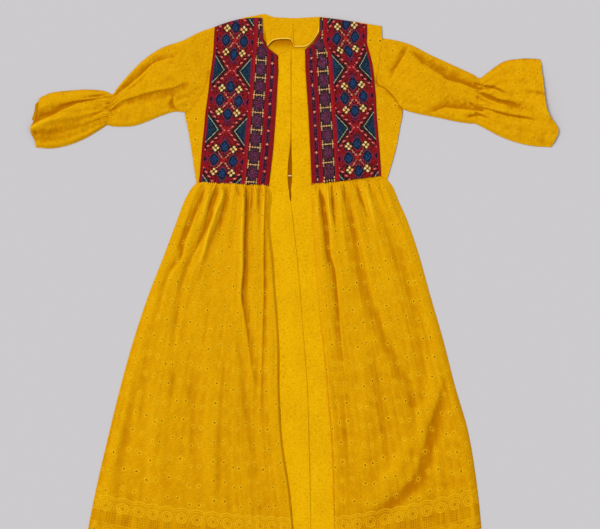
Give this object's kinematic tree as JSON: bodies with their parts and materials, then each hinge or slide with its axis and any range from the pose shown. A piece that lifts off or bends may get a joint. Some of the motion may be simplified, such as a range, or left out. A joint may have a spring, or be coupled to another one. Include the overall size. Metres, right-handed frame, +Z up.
{
  "type": "balochi dress, laid flat",
  "caption": "Open-front cotton gown laid flat and face up, with embroidered bodice panels, a gathered skirt with plain front bands, and sleeves gathered into bell flounces.",
  "frame": {"origin": "middle of the gown's outline, on the surface that it lies on", "axes": "+Z up out of the gown's face, +Y from hem to neck, +X to the viewer's right"},
  "size_m": [1.1921, 1.23, 0.0188],
  "materials": {
    "eyelet_cotton": "matte",
    "plain_cotton": "matte",
    "embroidery": "satin",
    "thread": "satin"
  },
  "bodies": {
    "root": {"back_bodice": "eyelet_cotton", "back_skirt": "eyelet_cotton", "back_neck_facing_left": "plain_cotton", "back_neck_facing_right": "plain_cotton", "front_bodice_left": "eyelet_cotton", "front_bodice_right": "eyelet_cotton", "embroidered_panel_left": "embroidery", "embroidered_panel_right": "embroidery", "band_bodice_left": "plain_cotton", "band_bodice_right": "plain_cotton", "front_skirt_left": "eyelet_cotton", "front_skirt_right": "eyelet_cotton", "band_skirt_left": "plain_cotton", "band_skirt_right": "plain_cotton", "sleeve_left": "eyelet_cotton", "sleeve_right": "eyelet_cotton", "closure_hook": "thread"}
  },
  "joints": []
}
